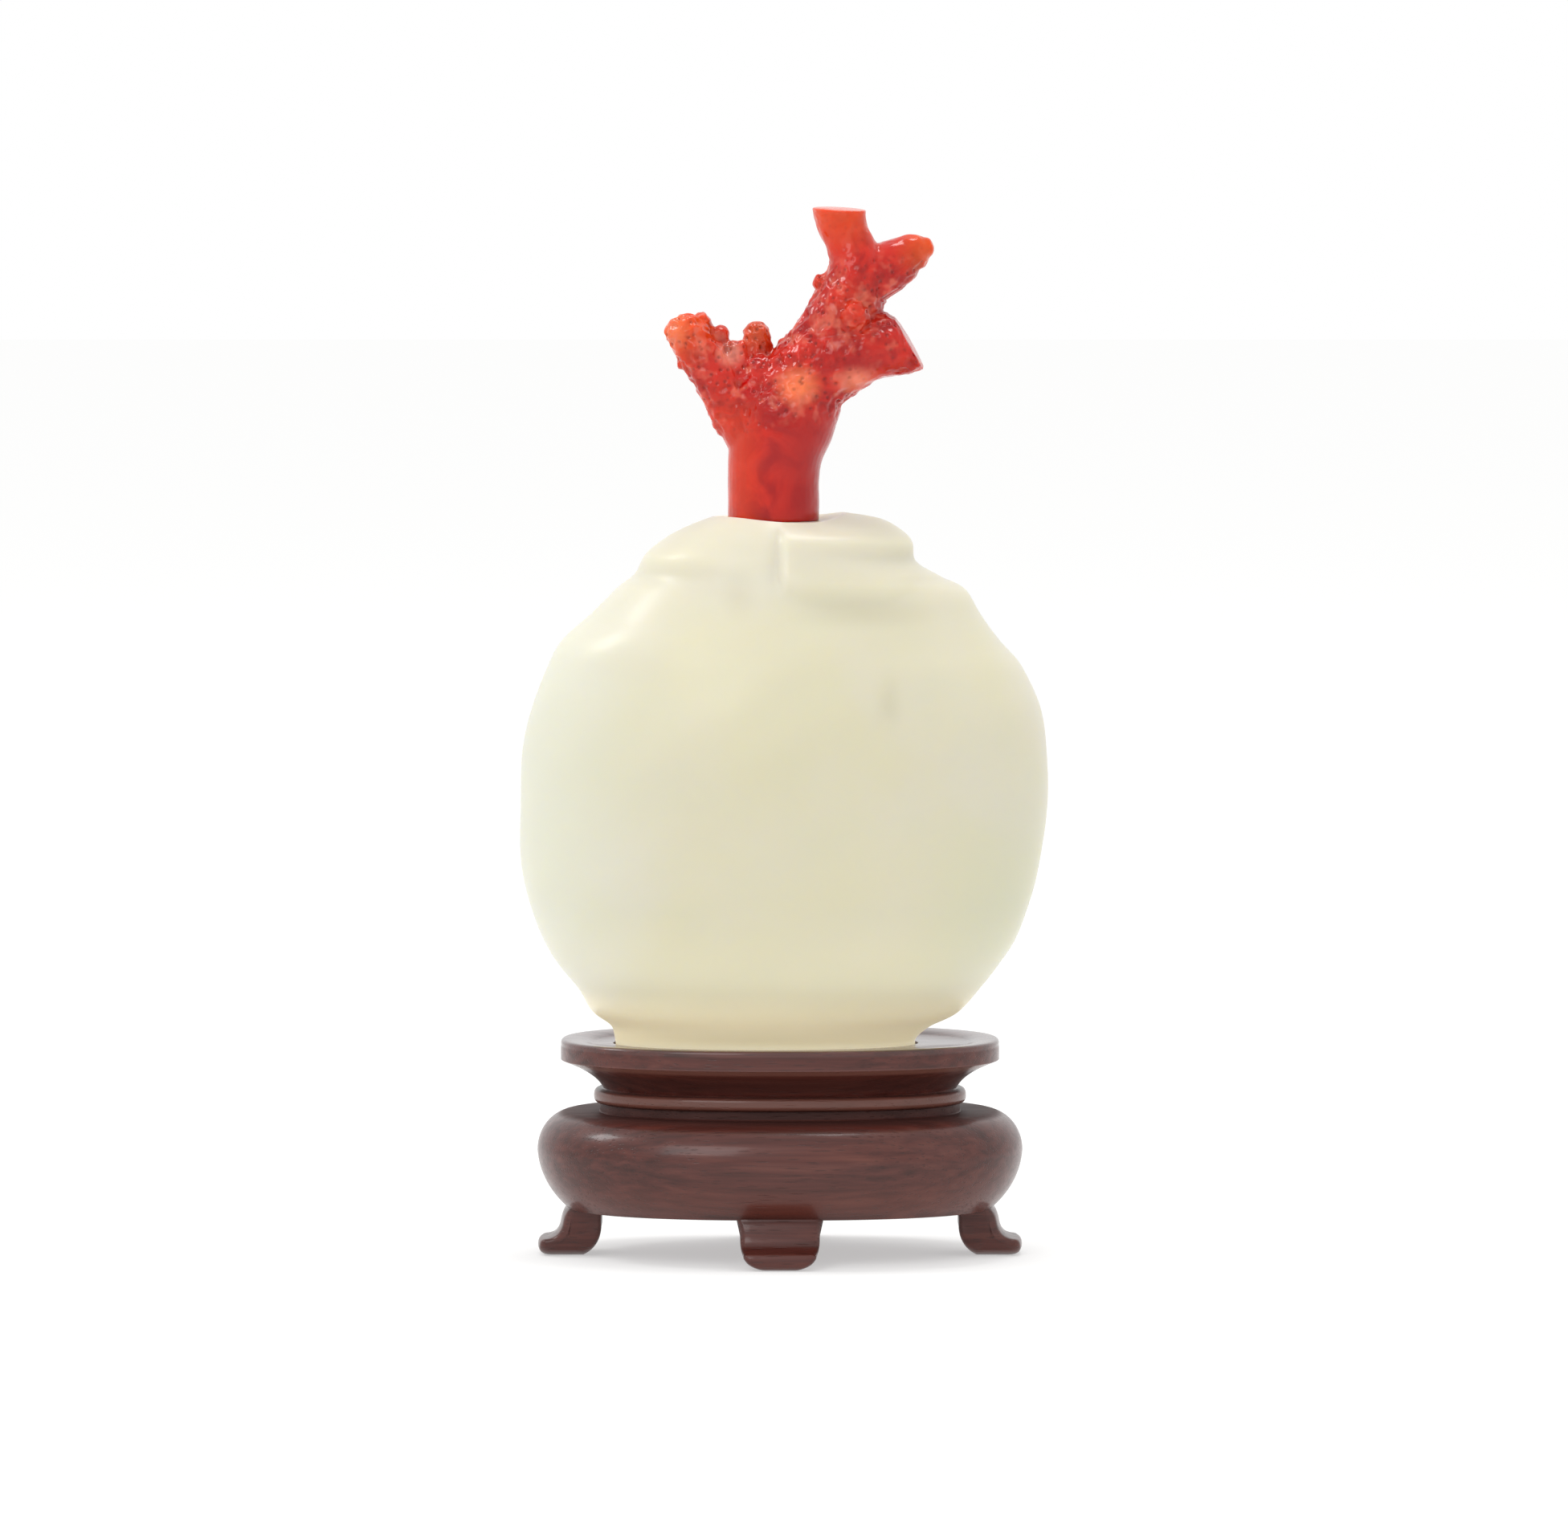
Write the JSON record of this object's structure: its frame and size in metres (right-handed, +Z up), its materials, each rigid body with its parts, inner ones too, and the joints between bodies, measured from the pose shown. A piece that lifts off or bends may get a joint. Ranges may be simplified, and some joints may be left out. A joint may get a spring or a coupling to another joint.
{
  "type": "snuff bottle",
  "caption": "Pebble-shaped snuff bottle with a folded collar and a branching twig stopper, resting in the dish of a low oval stand on scroll feet.",
  "frame": {"origin": "middle of the stand's footprint, on the surface it stands on", "axes": "+Z up, +X to the right seen from the front, and the front, with the lobes' cleft in view, faces -Y"},
  "size_m": [0.0526, 0.0356, 0.1047],
  "materials": {
    "hardwood": "dark reddish-brown hardwood, carved and polished to a semi-gloss",
    "jade": "pale cream jade, slightly translucent, with a waxy polish",
    "coral": "red coral with orange tips, polished, with small pits"
  },
  "bodies": {
    "root": {"stand": "hardwood", "bottle": "jade", "coral_stopper": "coral"}
  },
  "joints": []
}
